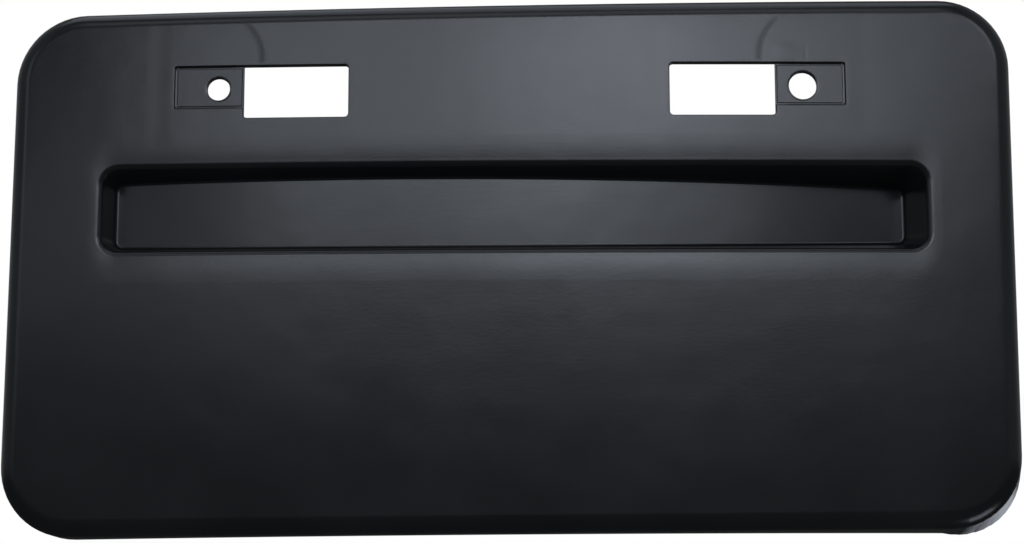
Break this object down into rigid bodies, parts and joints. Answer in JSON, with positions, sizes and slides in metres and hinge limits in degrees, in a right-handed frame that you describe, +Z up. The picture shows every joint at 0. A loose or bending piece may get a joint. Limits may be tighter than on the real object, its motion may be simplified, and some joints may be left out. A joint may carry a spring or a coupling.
{
  "type": "number plate holder",
  "caption": "Moulded number plate holder with rolled edges, upper windows with recessed screw pads, a long bowed pocket and an open back.",
  "frame": {"origin": "on the curved seat at the back, midway between the plate holes and level with the middle of the long pocket", "axes": "+Z up, face towards -Y, +X to the right as seen from the front"},
  "size_m": [0.3102, 0.0294, 0.1643],
  "materials": {
    "shell": "satin"
  },
  "bodies": {
    "root": {"plate_holder": "shell"}
  },
  "joints": []
}
